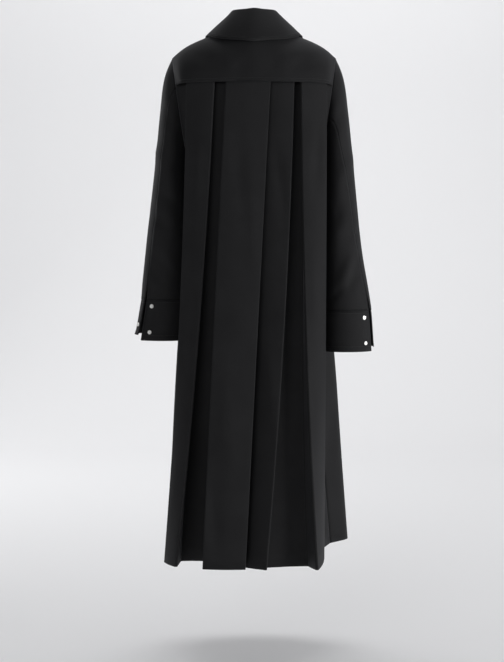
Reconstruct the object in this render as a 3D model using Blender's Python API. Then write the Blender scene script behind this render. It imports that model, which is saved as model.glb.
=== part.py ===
"""Long double-breasted coat, worn, as hollow cloth: pleated back, yoke, fronts, collar, sleeves and snaps.

Metres, +Z up, front towards -Y, the wearer's left towards +X. The origin is the middle of the neck, level
with the shoulders that carry the coat. Tables are in millimetres and degrees.
"""
import math

import bmesh
import bpy
import numpy as np

MM = 0.001
TINY = 1e-12

# Cloth and seams
CLOTH = 1.7 * MM
COLLAR_CLOTH = 2 * MM
SEAM_GAP = 0.3 * MM

# Levels of the seams and edges
YOKE_Z = -120 * MM
HAND_Z = -700 * MM
HEM_Z = -1266 * MM
HEM_RISE = 16 * MM
HEM_RISE_SPAN = (120 * MM, -130 * MM)
UPPER_LEVELS = (-120, -150, -182, -215, -248, -270, -282)
SKIRT_LEVELS = (-330, -410, -560, -710, -860, -1000, -1130, -1266)
LEVELS = [z * MM for z in UPPER_LEVELS + SKIRT_LEVELS]
BREAK_Z = -360 * MM
GORGE_Z = -46 * MM

# Yoke and neck
YOKE_HALF = 215 * MM
YOKE_DEPTH = 142 * MM
YOKE_POWER = 2.6
NECK_HALF = 70 * MM
NECK_BACK = 72 * MM
SHOULDER_SEAM_TURN = -0.17
RIDGE = {"x": (0, 70, 125, 165, 200), "z": (50, 19, -3, -21, -48.6)}
YOKE_WIDTHS = (1, 0.94, 0.85, 0.74, 0.62, 0.5, 0.41, 0.35, 0.33, 0.27, 0.18, 0.09, 0)
YOKE_ROWS = 9

# Armhole: an upright oval, its top outward of its bottom
ARMHOLE_TOP = (200 * MM, -48 * MM)
ARMHOLE_FOOT = (166 * MM, -282 * MM)
ARMHOLE_Y = -5 * MM
ARMHOLE_HALF_DEPTH = 70 * MM

# Side seam below the armhole
SIDE = {"z": (-282, -305, -410, -710, -1266), "x": (166, 160, 153, 152, 192), "y": (-5, -4, -3, -5, -60)}

# Fold lines of the back, from the wearer's left to right: place across at the yoke seam, the hand and the
# hem, depth under the yoke's curve at the top, place front to back lower down, then the bulge and the points
# of the stretch after it
FOLD_COLUMNS = ("kind", "x_yoke", "x_hand", "x_hem", "tuck", "y_hand", "y_hem", "bow", "points")
BACK_FOLDS = {
    "side_tuck_left": ("valley_out", 146, 162, 181, 14, 91, 78, 0, 0),
    "panel_left_outer": ("fold_in", 161, 180, 217, 0, 113, 112, 3, 2),
    "panel_left_inner": ("fold_out", 94, 131, 187, 0, 146, 170, 0, 0),
    "recess_left_outer": ("valley_in", 112, 144, 176, 13, 104, 102, -3, 2),
    "recess_left_inner": ("valley_out", 48, 78, 110, 13, 114, 104, 0, 0),
    "panel_centre_left": ("fold_in", 66, 95, 121, 0, 161, 198, 4, 3),
    "panel_centre_right": ("fold_out", -39, -9, 20, 0, 168, 202, 0, 0),
    "fold_middle_root": ("valley_in", -20, 12, 40, 14, 131, 160, 3, 2),
    "fold_middle_edge": ("fold_out", -95, -71, -28, 4, 159, 208, 0, 0),
    "recess_right_inner": ("valley_in", -80, -52, -14, 18, 127, 184, -4, 3),
    "recess_right_outer": ("valley_out", -126, -116, -128, 16, 116, 160, 0, 0),
    "panel_right_inner": ("fold_in", -112, -124, -151, 0, 150, 206, 4, 2),
    "panel_right_outer": ("fold_out", -174, -173, -172, 0, 110, 62, 0, 0),
    "side_tuck_right": ("valley_in", -158, -158, -150, 14, 88, 38, 0, 2),
}
FOLD_LIP = 6 * MM
FOLD_ROUND = 2.4 * MM
FOLD_CUT_SHARE = 0.42
SIDE_POINTS = 2

# Front: half width of each side, its place front to back and the depth of the curve before it, at each level
FRONT_RING = {
    "z": (-120, -200, -282, -310, -410, -710, -860, -1000, -1266),
    "half_left": (187, 177, 164, 159, 159, 194, 203, 210, 222),
    "half_right": (187, 177, 164, 159, 160, 201, 214, 223, 243),
    "y": (-80, -80, -56, -57, -60, -95, -98, -100, -105),
    "depth": (34, 48, 86, 87, 90, 92, 106, 120, 145),
}
FRONT_POWER = 2.4
OVERLAP_HALF = 90 * MM
UNDER_STEP = {"z": (-1266, -480, -340, -200, -100), "depth": (5, 5, 11, 11, 0)}
UNDER_EDGE = 135 * MM
UNDER_RAMP = 45 * MM
FRONT_START = -0.1706
FRONT_POINTS = 11
SHOULDER_ROWS = 5

# Lapel
LAPEL_TIP = (150 * MM, -50 * MM)
LAPEL_LIFT = 2.2 * MM
LAPEL_ROLL = 3 * MM
LAPEL_BOW = 9 * MM
LAPEL_TOP_Z = -52 * MM
LAPEL_ROWS = 11
LAPEL_COLUMNS = 7
LAPEL_POINT_SHARE = 0.05
LAPEL_ROLL_SPREAD = 1.15
LAPEL_ROLL_FADE = 3

# Collar, from the middle of the back (0) round to its front end (1)
COLLAR = {
    "along": (0, 0.3, 0.55, 0.8, 1),
    "edge_x": (0, 82, 115, 119, 111),
    "edge_turn": (0.645, 0.45, 0.13, -0.3, -0.47),
    "stand": (35, 43, 43, 30, 12),
    "lean": (3, -6, -21, -11, 0),
    "lift": (8, 6, 4.5, 4.5, 5),
}
COLLAR_SHOULDER = 0.55
COLLAR_ROUND = 6 * MM
COLLAR_BEND = (180, 140, 100, 60, 25)
COLLAR_BOW = 3 * MM
COLLAR_SEAT = 0.75 * MM
COLLAR_STEPS = 12
COLLAR_FALL = (0.33, 0.67, 1)
COLLAR_FRONT_START = 0.6
COLLAR_FRONT_WAY = (0.35, -0.8, 0.5)
NECK_DROP_POWER = 1.6
NECK_FRONT_TURN = 0.5

# Sleeve: the outer and inner edge of each section, its middle and half depth front to back
SLEEVE = {
    "section": ("armhole", "cap", "upper", "biceps", "elbow", "forearm", "cuff_seam", "cuff_hem"),
    "outer_x": (200, 221.5, 237, 249, 263, 275, 281, 289),
    "outer_z": (-48, -100, -235, -345, -480, -590, -636, -736),
    "inner_x": (166, 168, 168, 165, 161, 162, 164, 171),
    "inner_z": (-282, -300, -360, -420, -520, -602, -640, -737),
    "y": (-5, -3, 0, 4, 8, 10, 11, 12),
    "half_depth": (70, 76, 78, 75, 69, 62, 60, 57),
}
SLEEVE_ROWS = (0, 0.5, 1, 1.5, 2, 2.5, 3, 3.5, 4, 4.4, 4.8, 5.2, 5.6, 6)
CUFF_ROWS = (6, 6.33, 6.66, 7)
VENT_START = 4.3
VENT_TURN = 65
FRONT_SEAM_ANGLE = 258
SEAM_TURN = 0.12

# Arms: how far the cuff hangs lower, the move of each section's outer edge, the back seam's angle at the
# armhole, elbow and hem, and how far the vent's edge stands off
ARMS = {
    "left": {
        "side": 1,
        "drop": 0,
        "outer_move": (0, 0, -2, -3, -1, -2, -6.5, 0.5),
        "back_seam": (72, 47, 40),
        "vent_lift": 9 * MM,
    },
    "right": {
        "side": -1,
        "drop": 27 * MM,
        "outer_move": (0, 0, 0, -1, -1.5, 5.5, 4.5, 1),
        "back_seam": (112, 44, 17),
        "vent_lift": 6 * MM,
    },
}
UPPER_POINTS = 13
UNDER_POINTS = 9
CUFF_POINTS = 21

# Snaps: radius and height over the cloth at each ring of the cap, from its foot to its dished middle
SNAP_PROFILE = {"radius": (5.0, 5.0, 4.5, 3.9, 3.2), "height": (0, 1.0, 1.7, 1.7, 1.1)}
SNAP_SIDES = 14
SNAP_SEAT = 0.35 * MM
CUFF_SNAPS = {
    "left": {"upper": (6.19, 62), "lower": (6.81, 65), "flap": (6.64, 393)},
    "right": {"upper": (6.22, 47), "lower": (6.81, 46)},
}
FRONT_SNAP_X = 62 * MM
FRONT_SIDE_TURN = 15 * MM
FRONT_SNAP_ROWS = (8, 9, 10, 11)
SHARP_ANGLE = math.radians(50)

COLOURS = {
    "cloth": ((0.014, 0.014, 0.016, 1.0), 0.85, 0.0),
    "snap": ((0.62, 0.62, 0.63, 1.0), 0.28, 1.0),
}


def clear_scene():
    for item in list(bpy.data.objects):
        bpy.data.objects.remove(item, do_unlink=True)


def material(name):
    """The named Principled material, made once."""
    found = bpy.data.materials.get(name)
    if found:
        return found
    colour, roughness, metallic = COLOURS[name]
    made = bpy.data.materials.new(name)
    made.use_nodes = True
    shader = made.node_tree.nodes["Principled BSDF"]
    shader.inputs["Base Color"].default_value = colour
    shader.inputs["Roughness"].default_value = roughness
    shader.inputs["Metallic"].default_value = metallic
    return made


def smooth_step(value):
    t = min(max(value, 0.0), 1.0)
    return t * t * (3 - 2 * t)


def blend(a, b, t):
    return np.asarray(a) * (1 - t) + np.asarray(b) * t


def unit(v):
    return np.asarray(v) / max(np.linalg.norm(v), TINY)


def along_table(keys, values, key):
    """A smooth curve through (keys, values), read at key, with no overshoot between rows."""
    keys = np.asarray(keys, float)
    values = np.asarray(values, float)
    if keys[0] > keys[-1]:
        keys, values = keys[::-1], values[::-1]
    key = min(max(key, keys[0]), keys[-1])
    step = np.diff(keys)
    slope = np.diff(values) / step
    tangent = np.empty(len(keys))
    tangent[0], tangent[-1] = slope[0], slope[-1]
    for i in range(1, len(keys) - 1):
        same_way = slope[i - 1] * slope[i] > 0
        tangent[i] = 2 * slope[i - 1] * slope[i] / (slope[i - 1] + slope[i]) if same_way else 0.0
    i = min(int(np.searchsorted(keys, key, side="right")) - 1, len(keys) - 2)
    t = (key - keys[i]) / step[i]
    rise = t * t * (3 - 2 * t)
    start, end = t * (1 - t) ** 2, t * t * (t - 1)
    level = values[i] * (1 - rise) + values[i + 1] * rise
    return level + step[i] * (tangent[i] * start + tangent[i + 1] * end)


def ridge_z(x):
    """Height of the shoulder line."""
    return along_table(RIDGE["x"], RIDGE["z"], abs(x) / MM) * MM


def yoke_y(x):
    """The back's curve at the yoke seam."""
    share = min(abs(x) / YOKE_HALF, 1.0)
    return YOKE_DEPTH * (1 - share**YOKE_POWER) ** (1 / YOKE_POWER)


def front_ring(z, side):
    """Half width of one side, its place front to back and the depth before it, at height z."""
    return [along_table(FRONT_RING["z"], FRONT_RING[k], z / MM) * MM for k in ("half_" + side, "y", "depth")]


def front_y(x, z, side="right"):
    """The front's surface at place x and height z, up to the shoulder line."""
    half, y, depth = front_ring(min(z, YOKE_Z), side)
    share = min(abs(x) / half, 1.0)
    level_y = y - depth * (1 - share**FRONT_POWER) ** (1 / FRONT_POWER)
    if z <= YOKE_Z:
        return level_y
    cosine = min((z - YOKE_Z) / (ridge_z(x) - YOKE_Z), 1.0)
    return level_y * math.sqrt(1 - cosine * cosine)


def shoulder_point(x, turn):
    """A point over the shoulder: turn runs from -1 at the chest over the ridge at 0 to 1 at the yoke seam."""
    angle = turn * math.pi / 2
    z = YOKE_Z + (ridge_z(x) - YOKE_Z) * math.cos(angle)
    reach = yoke_y(x) if turn > 0 else front_y(x, YOKE_Z)
    return np.array((x, reach * abs(math.sin(angle)), z))


def armhole_point(angle):
    """The armhole's oval: 0 at its top, 90 at the back, 180 at its foot."""
    top, foot = np.array(ARMHOLE_TOP), np.array(ARMHOLE_FOOT)
    x, z = (top + foot) / 2 + (top - foot) / 2 * math.cos(math.radians(angle))
    return np.array((x, ARMHOLE_Y + ARMHOLE_HALF_DEPTH * math.sin(math.radians(angle)), z))


def armhole_angle(z):
    """The armhole's angle at height z, on its back."""
    middle, half = (ARMHOLE_TOP[1] + ARMHOLE_FOOT[1]) / 2, (ARMHOLE_TOP[1] - ARMHOLE_FOOT[1]) / 2
    return math.degrees(math.acos(min(max((z - middle) / half, -1.0), 1.0)))


def seam_angle(turn):
    """The armhole's angle where a shoulder seam at this turn meets it."""
    reach = shoulder_point(ARMHOLE_TOP[0], turn)[1] - ARMHOLE_Y
    return math.degrees(math.asin(reach / ARMHOLE_HALF_DEPTH))


def side_point(z, back):
    """The edge of back or front on the wearer's left: along the armhole, then down the side seam."""
    if z > ARMHOLE_FOOT[1]:
        angle = armhole_angle(z)
        return armhole_point(angle if back else -angle)
    return np.array([along_table(SIDE["z"], SIDE[k], z / MM) * MM for k in ("x", "y")] + [z])


def hem_rise(y):
    """How much the hem lifts towards the front."""
    start, end = HEM_RISE_SPAN
    return HEM_RISE * smooth_step((start - y) / (start - end))


def folded_path(corners, rounds, arcs, bows, points):
    """A path with its corners cut, or rounded where arcs says so, and bowed points along its stretches."""
    corners = [np.asarray(c, float) for c in corners]
    starts, ends = [corners[0]], []
    turns = []
    for i in range(1, len(corners) - 1):
        before, after = corners[i] - corners[i - 1], corners[i + 1] - corners[i]
        cut = min(rounds[i], *(FOLD_CUT_SHARE * np.linalg.norm(run) for run in (before, after)))
        entry, leave = corners[i] - unit(before) * cut, corners[i] + unit(after) * cut
        turns.append([entry, (entry + 2 * corners[i] + leave) / 4, leave] if arcs[i] else [entry, leave])
        ends.append(entry)
        starts.append(leave)
    ends.append(corners[-1])
    path = [corners[0]]
    for i, (start, end) in enumerate(zip(starts, ends)):
        run = end - start
        out = unit((run[1], -run[0]))
        for k in range(1, points[i] + 1):
            t = k / (points[i] + 1)
            path.append(start + run * t + out * bows[i] * 4 * t * (1 - t))
        path += turns[i] if i < len(turns) else [corners[-1]]
    return path


def back_row(z):
    """One level of the pleated back, from the left side seam to the right."""
    share = (z - YOKE_Z) / (HEM_Z - YOKE_Z)
    hand = (HAND_Z - YOKE_Z) / (HEM_Z - YOKE_Z)
    side = side_point(z, True)[:2]
    rows = [dict(zip(FOLD_COLUMNS, fold)) for fold in BACK_FOLDS.values()]
    places = [side]
    for row in rows:
        y_yoke = yoke_y(row["x_yoke"] * MM) / MM - row["tuck"]
        x = np.polyval(np.polyfit((0, hand, 1), (row["x_yoke"], row["x_hand"], row["x_hem"]), 2), share)
        y = np.polyval(np.polyfit((0, hand, 1), (y_yoke, row["y_hand"], row["y_hem"]), 2), share)
        places.append(np.array((x, y)) * MM)
    places.append(side * (-1, 1))
    corners, rounds, bows, points = [side], [0], [0], [SIDE_POINTS]
    arcs = [0]
    for i, row in enumerate(rows, start=1):
        layer, way = row["kind"].split("_")
        run = places[i + 1] - places[i] if way == "in" else places[i] - places[i - 1]
        lip = unit((run[1], -run[0])) * (FOLD_LIP if layer == "valley" else -FOLD_LIP)
        pair = (places[i] + lip, places[i]) if way == "in" else (places[i], places[i] + lip)
        corners += pair
        rounds += [FOLD_ROUND] * 2
        arcs += [layer == "fold"] * 2
        bows += [0, row["bow"] * MM]
        points += [0, row["points"]]
    corners.append(places[-1])
    rounds.append(0)
    path = folded_path(corners, rounds, arcs, bows, points)
    return [(x, y, z + hem_rise(y) * share * share) for x, y in path]


def grid_normals(grid, turn):
    """Outward normals of a grid; turn is 1 where its columns run round against the clock, else -1."""
    across = np.gradient(grid, axis=1, edge_order=2)
    down = np.gradient(grid, axis=0, edge_order=2)
    normal = np.cross(down, across) * turn
    return normal / np.maximum(np.linalg.norm(normal, axis=2, keepdims=True), TINY)


def trimmed(grid, top=True, bottom=True, first=True, last=True):
    """The grid with its seam edges drawn back by half the seam gap."""
    grid = np.array(grid, float)
    edges = (
        (top, (0,), (1,)),
        (bottom, (-1,), (-2,)),
        (first, (slice(None), 0), (slice(None), 1)),
        (last, (slice(None), -1), (slice(None), -2)),
    )
    for wanted, edge, beside in edges:
        if wanted:
            step = grid[beside] - grid[edge]
            length = np.linalg.norm(step, axis=-1, keepdims=True)
            grid[edge] = grid[edge] + step / np.maximum(length, TINY) * SEAM_GAP / 2
    return grid


def armhole_side(offset, rim, outward):
    """Keeps a rim on its own side of the armhole's plane: outward is 1 for the sleeve, -1 for the body."""
    run = np.subtract(ARMHOLE_TOP, ARMHOLE_FOOT)
    axis = unit((run[1], 0, -run[0])) * outward
    part = offset[rim] @ axis
    offset[rim] = offset[rim] - np.minimum(part, 0.0)[..., None] * axis


def wall(name, grid, offset, slot="cloth", mirror=False):
    """A closed cloth wall between a grid of points and the same grid moved by offset."""
    outer, inner = np.asarray(grid), np.asarray(grid) + offset
    if mirror:
        outer, inner = outer * (-1, 1, 1), inner * (-1, 1, 1)
    rows, columns = outer.shape[:2]
    shape = bmesh.new()
    faces = [[[shape.verts.new(p) for p in row] for row in side] for side in (outer, inner)]
    for side in faces:
        for r in range(rows - 1):
            for c in range(columns - 1):
                shape.faces.new((side[r][c], side[r][c + 1], side[r + 1][c + 1], side[r + 1][c]))
    rim = [(0, c) for c in range(columns)] + [(r, columns - 1) for r in range(1, rows)]
    rim += [(rows - 1, c) for c in range(columns - 2, -1, -1)] + [(r, 0) for r in range(rows - 2, 0, -1)]
    for (r0, c0), (r1, c1) in zip(rim, rim[1:] + rim[:1]):
        shape.faces.new((faces[0][r0][c0], faces[0][r1][c1], faces[1][r1][c1], faces[1][r0][c0]))
    bmesh.ops.recalc_face_normals(shape, faces=shape.faces)
    finish(name, shape, slot)


def finish(name, shape, slot):
    mesh = bpy.data.meshes.new(name)
    shape.to_mesh(mesh)
    shape.free()
    mesh.shade_smooth()
    mesh.set_sharp_from_angle(angle=SHARP_ANGLE)
    mesh.materials.append(material(slot))
    made = bpy.data.objects.new(name, mesh)
    bpy.context.scene.collection.objects.link(made)


def build_back():
    grid = trimmed([back_row(z) for z in LEVELS], bottom=False)
    offset = -grid_normals(grid, 1) * CLOTH
    top_rows = [r for r, z in enumerate(LEVELS) if z > ARMHOLE_FOOT[1]]
    armhole_side(offset, (top_rows, 0), -1)
    offset[..., 0] *= -1
    armhole_side(offset, (top_rows, -1), -1)
    offset[..., 0] *= -1
    wall("back_panel", grid, offset)


def build_yoke():
    """The yoke, from the shoulder seams before the ridge and the neck's edge down to the yoke seam."""
    widths = np.array(YOKE_WIDTHS)
    shares = np.concatenate((widths, -widths[-2::-1]))
    angles = np.linspace(seam_angle(SHOULDER_SEAM_TURN), armhole_angle(YOKE_Z), YOKE_ROWS)
    grid = np.empty((len(angles), len(shares), 3))
    for r, angle in enumerate(angles):
        edge = armhole_point(angle)
        t = r / (len(angles) - 1)
        for c, share in enumerate(shares):
            x = share * edge[0]
            start = SHOULDER_SEAM_TURN
            if abs(x) < NECK_HALF:
                neck_y = NECK_BACK * math.sqrt(1 - (x / NECK_HALF) ** 2)
                start = math.asin(neck_y / yoke_y(x)) / (math.pi / 2)
            grid[r, c] = shoulder_point(x, start * (1 - t) + t)
            if abs(share) == 1:
                grid[r, c] = edge * (math.copysign(1, share), 1, 1)
    grid[-1, :, 2] = YOKE_Z
    grid = trimmed(grid)
    offset = -grid_normals(grid, 1) * CLOTH
    armhole_side(offset, (slice(None), 0), -1)
    offset[..., 0] *= -1
    armhole_side(offset, (slice(None), -1), -1)
    offset[..., 0] *= -1
    wall("back_yoke", grid, offset)


def roll_x(z):
    """The front's edge: down the lapel's roll line, then straight."""
    start = ridge_z(NECK_HALF)
    share = min((start - z) / (start - BREAK_Z), 1.0)
    return NECK_HALF - (NECK_HALF + OVERLAP_HALF) * share


def front_row(z, side):
    """One level of a front below the chest, from the side seam to its edge, laid out as on the left."""
    seam = side_point(z, False)
    half, y, _ = front_ring(z, side)
    row = [seam, np.array(((seam[0] + half) / 2, (seam[1] + y) / 2, z))]
    end = roll_x(z) / half
    for t in np.linspace(0, 1, FRONT_POINTS):
        angle = math.acos(end) * t
        x = half * math.cos(angle)
        row.append(np.array((x, front_y(x, z, side), z)))
    return row


def front_grid(side):
    """One front's outer points, laid out as on the left: over the shoulder, then down to the hem."""
    chest = np.array(front_row(YOKE_Z, side))
    start, end = seam_angle(FRONT_START), -armhole_angle(YOKE_Z)
    grid = []
    for r in range(SHOULDER_ROWS):
        t = r / SHOULDER_ROWS
        turn = FRONT_START * (1 - t) - t
        edge = armhole_point(start + (end - start) * t)
        neck_z = YOKE_Z + (ridge_z(NECK_HALF) - YOKE_Z) * math.cos(turn * math.pi / 2)
        inner = roll_x(neck_z)
        spread = (chest[:, 0] - chest[-1, 0]) / (chest[0, 0] - chest[-1, 0])
        spread = blend(np.linspace(1, 0, len(chest)), spread, t)
        row = [shoulder_point(inner + (edge[0] - inner) * s, turn) for s in spread]
        row[0] = edge
        grid.append(row)
    grid += [front_row(z, side) for z in LEVELS]
    grid = np.array(grid)
    share = np.clip((grid[..., 2] - YOKE_Z) / (HEM_Z - YOKE_Z), 0, 1)
    rise = np.array([[hem_rise(p[1]) for p in row] for row in grid])
    grid[..., 2] += rise * share * share
    return grid


def under_step(x, z):
    """How far the under front lies inside the upper one."""
    depth = along_table(UNDER_STEP["z"], UNDER_STEP["depth"], z / MM) * MM
    return depth * smooth_step((UNDER_EDGE - x) / UNDER_RAMP)


def build_front(side):
    grid = front_grid(side)
    if side == "left":
        for row in grid:
            for p in row:
                p[1] += under_step(p[0], p[2])
    grid = trimmed(grid, bottom=False, last=False)
    offset = -grid_normals(grid, -1) * CLOTH
    armhole_side(offset, (slice(0, SHOULDER_ROWS + len(UPPER_LEVELS) - 1), 0), -1)
    wall("front_" + side, grid, offset, mirror=side == "right")


def front_lift(x, z, lift):
    """The front's surface at (x, z), moved out by lift."""
    step = 2 * MM
    here = np.array((x, front_y(x, z), z))
    over = np.array((x + step, front_y(x + step, z), z)) - here
    down = np.array((x, front_y(x, z - step), z - step)) - here
    normal = unit(np.cross(over, down))
    if normal[1] > 0:
        normal = -normal
    return here + normal * lift


def build_lapel(side):
    """The turned-back lapel: a triangle from the break point to the gorge, on the front's points."""
    break_point = np.array((-OVERLAP_HALF, BREAK_Z))
    top = np.array((roll_x(LAPEL_TOP_Z), LAPEL_TOP_Z))
    across = unit((top - break_point)[::-1] * (1, -1))
    grid = []
    for w in np.linspace(1, LAPEL_POINT_SHARE, LAPEL_ROWS):
        inner = blend(break_point, top, w)
        outer = blend(break_point, LAPEL_TIP, w) + across * LAPEL_BOW * 4 * w * (1 - w)
        row = []
        for q in np.linspace(0, 1, LAPEL_COLUMNS):
            x, z = blend(outer, inner, q)
            roll = LAPEL_ROLL * math.sin(math.pi * min(q * LAPEL_ROLL_SPREAD, 1.0))
            p = front_lift(x, z, CLOTH + LAPEL_LIFT + roll * min(LAPEL_ROLL_FADE * w, 1.0))
            if side == "left":
                p[1] += under_step(x, z)
            row.append(p)
        grid.append(row)
    grid = np.array(grid)
    wall("lapel_" + side, grid, -grid_normals(grid, -1) * CLOTH, mirror=side == "right")


def neck_edge(t):
    """The neck edge on the left, from the middle of the back (0) to the gorge (1), and its outward way."""
    if t <= COLLAR_SHOULDER:
        angle = t / COLLAR_SHOULDER * math.pi / 2
        x, y = NECK_HALF * math.sin(angle), NECK_BACK * math.cos(angle)
        turn = math.asin(min(y / yoke_y(x), 1.0)) / (math.pi / 2)
        return shoulder_point(x, turn), np.array((math.sin(angle), math.cos(angle), 0))
    share = (t - COLLAR_SHOULDER) / (1 - COLLAR_SHOULDER)
    z = ridge_z(NECK_HALF) + (GORGE_Z - ridge_z(NECK_HALF)) * share**NECK_DROP_POWER
    x = roll_x(z)
    return np.array((x, front_y(x, z), z)), unit((1, -NECK_FRONT_TURN * share, 0))


def surface_normal(x, turn):
    step = 0.02
    over = shoulder_point(x + step * MM, turn) - shoulder_point(x - step * MM, turn)
    round_way = shoulder_point(x, turn + step) - shoulder_point(x, turn - step)
    normal = unit(np.cross(over, round_way))
    return normal if normal[2] > 0 or abs(normal[1]) > abs(normal[2]) and normal[1] * turn > 0 else -normal


def build_collar():
    """Stand, roll and fall as one wall, bent over the roll line."""
    columns = []
    for side in (1, -1):
        half = []
        for t in np.linspace(1, 0, COLLAR_STEPS + 1):
            neck, out = neck_edge(t)
            row = {key: along_table(COLLAR["along"], COLLAR[key], t) for key in COLLAR if key != "along"}
            edge_normal = surface_normal(row["edge_x"] * MM, row["edge_turn"])
            edge = shoulder_point(row["edge_x"] * MM, row["edge_turn"]) + edge_normal * row["lift"] * MM
            front = smooth_step((t - COLLAR_FRONT_START) / (1 - COLLAR_FRONT_START))
            up = unit(blend((0, 0, 1), unit(COLLAR_FRONT_WAY), front))
            base = neck + up * COLLAR_SEAT
            roll = base + up * row["stand"] * MM + out * row["lean"] * MM
            turns = [math.radians(a) for a in COLLAR_BEND]
            bend = [roll + COLLAR_ROUND * (out * math.cos(a) + up * (math.sin(a) - 1)) for a in turns]
            stand = [base, blend(base, bend[0], 0.5)]
            bow = edge_normal * COLLAR_BOW
            fall = [blend(bend[-1], edge, s) + bow * 4 * s * (1 - s) for s in COLLAR_FALL]
            half.append([p * (side, 1, 1) for p in stand + bend + fall])
        columns += half if side == 1 else half[-2::-1]
    grid = np.array(columns).transpose(1, 0, 2)
    wall("collar", grid, -grid_normals(grid, 1) * COLLAR_CLOTH)


def sleeve_point(arm, v, angle):
    """A point of a sleeve at section v and angle round it: 0 outside, 90 at the back, 180 inside."""
    rows = range(len(SLEEVE["section"]))
    row = {key: along_table(rows, SLEEVE[key], v) * MM for key in SLEEVE if key != "section"}
    drop = arm["drop"] * smooth_step(v / rows[-1])
    outer_x = row["outer_x"] + along_table(rows, arm["outer_move"], v) * MM
    outer = np.array((outer_x, row["outer_z"] - drop))
    inner = np.array((row["inner_x"], row["inner_z"] - drop))
    radians = math.radians(angle)
    middle, half = (outer + inner) / 2, (outer - inner) / 2
    x, z = middle + half * math.cos(radians)
    before_seam = back_seam(arm, v) + 360 - angle
    lift = arm["vent_lift"] * smooth_step((v - VENT_START) / (rows[-1] - VENT_START))
    lift *= smooth_step(1 - max(before_seam, 0) / VENT_TURN)
    out = unit((half[0] * math.cos(radians), row["half_depth"] * math.sin(radians)))
    return np.array((x + out[0] * lift, row["y"] + row["half_depth"] * math.sin(radians) + out[1] * lift, z))


def back_seam(arm, v):
    """The angle of the sleeve's back seam at section v."""
    return along_table((0, 4, 7), arm["back_seam"], v)


def sleeve_grid(arm, rows, span, count):
    """A stretch of sleeve between the two angles that span gives for the back seam's angle."""
    grid = []
    for v in rows:
        start, end = span(back_seam(arm, v))
        angles = np.linspace(start + SEAM_TURN, end - SEAM_TURN, count)
        grid.append([sleeve_point(arm, v, a) for a in angles])
    return trimmed(grid)


def full_turn(seam):
    """A cuff's span: all the way round from the back seam."""
    return seam, seam + 360


def build_sleeves(name, arm):
    mirror = arm["side"] < 0
    pieces = {
        "sleeve_under_": (SLEEVE_ROWS, lambda seam: (seam, FRONT_SEAM_ANGLE), UNDER_POINTS),
        "sleeve_upper_": (SLEEVE_ROWS, lambda seam: (FRONT_SEAM_ANGLE, seam + 360), UPPER_POINTS),
        "cuff_": (CUFF_ROWS, full_turn, CUFF_POINTS),
    }
    for piece, (rows, span, count) in pieces.items():
        grid = sleeve_grid(arm, rows, span, count)
        offset = -grid_normals(grid, 1) * CLOTH
        if rows[0] == 0:
            armhole_side(offset, (0,), 1)
        wall(piece + name, grid, offset, mirror=mirror)


def build_snap(name, place, normal):
    """A turned snap cap with a raised rim, seated on the cloth."""
    turned = unit(np.cross(normal, (0, 0, 1)))
    upright = np.cross(turned, normal)
    shape = bmesh.new()
    rings = []
    for radius, height in zip(SNAP_PROFILE["radius"], SNAP_PROFILE["height"]):
        ring = []
        for k in range(SNAP_SIDES):
            a = 2 * math.pi * k / SNAP_SIDES
            spoke = (turned * math.cos(a) + upright * math.sin(a)) * radius * MM
            ring.append(shape.verts.new(place + spoke + normal * (SNAP_SEAT + height * MM)))
        rings.append(ring)
    shape.faces.new(rings[0])
    shape.faces.new(rings[-1])
    for low, high in zip(rings, rings[1:]):
        for k in range(SNAP_SIDES):
            j = (k + 1) % SNAP_SIDES
            shape.faces.new((low[k], low[j], high[j], high[k]))
    bmesh.ops.recalc_face_normals(shape, faces=shape.faces)
    finish(name, shape, "snap")


def cuff_seat(arm, v, angle):
    """A point on the cuff's facets at section v and an angle round it, and its outward way."""
    grid = sleeve_grid(arm, CUFF_ROWS, full_turn, CUFF_POINTS)
    row = np.interp(v, CUFF_ROWS, range(len(CUFF_ROWS)))
    column = (angle - back_seam(arm, v)) / 360 * (CUFF_POINTS - 1)
    r, c = int(row), int(column)
    corners = grid[r : r + 2, c : c + 2]
    before, after = blend(corners[0], corners[1], row - r)
    down = corners[1].mean(axis=0) - corners[0].mean(axis=0)
    return blend(before, after, column - c), unit(np.cross(down, after - before))


def build_snaps():
    for side, snaps in CUFF_SNAPS.items():
        arm = ARMS[side]
        mirror = np.array((arm["side"], 1, 1))
        for place, (v, angle) in snaps.items():
            here, way = cuff_seat(arm, v, angle)
            build_snap(f"snap_cuff_{side}_{place}", here * mirror, way * mirror)
    grid = front_grid("right")
    normals = grid_normals(grid, -1)
    mirror = np.array((-1, 1, 1))
    for column, x in (("left", -FRONT_SNAP_X), ("right", FRONT_SNAP_X)):
        for k, r in enumerate(FRONT_SNAP_ROWS):
            places, ways = grid[SHOULDER_ROWS + r, ::-1], normals[SHOULDER_ROWS + r, ::-1]
            forward = places[:, 0] < places[:, 0].max() - FRONT_SIDE_TURN
            here = [np.interp(x, places[forward, 0], places[forward, i]) for i in range(3)]
            way = [np.interp(x, places[forward, 0], ways[forward, i]) for i in range(3)]
            build_snap(f"snap_front_{column}_{k + 1}", here * mirror, unit(way) * mirror)


def main():
    clear_scene()
    build_yoke()
    build_back()
    for side in ("right", "left"):
        build_front(side)
        build_lapel(side)
    build_collar()
    for name, arm in ARMS.items():
        build_sleeves(name, arm)
    build_snaps()


main()
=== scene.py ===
"""Finishes a long double-breasted coat: cloth with creases and seams, sewing, snaps and the stage.

Metres, +Z up, the front towards -Y, the wearer's left towards +X, the origin at the middle of the neck.
"""

import math

import bmesh
import bpy
import numpy as np
from mathutils import Matrix, Vector
from mathutils.bvhtree import BVHTree


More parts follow.
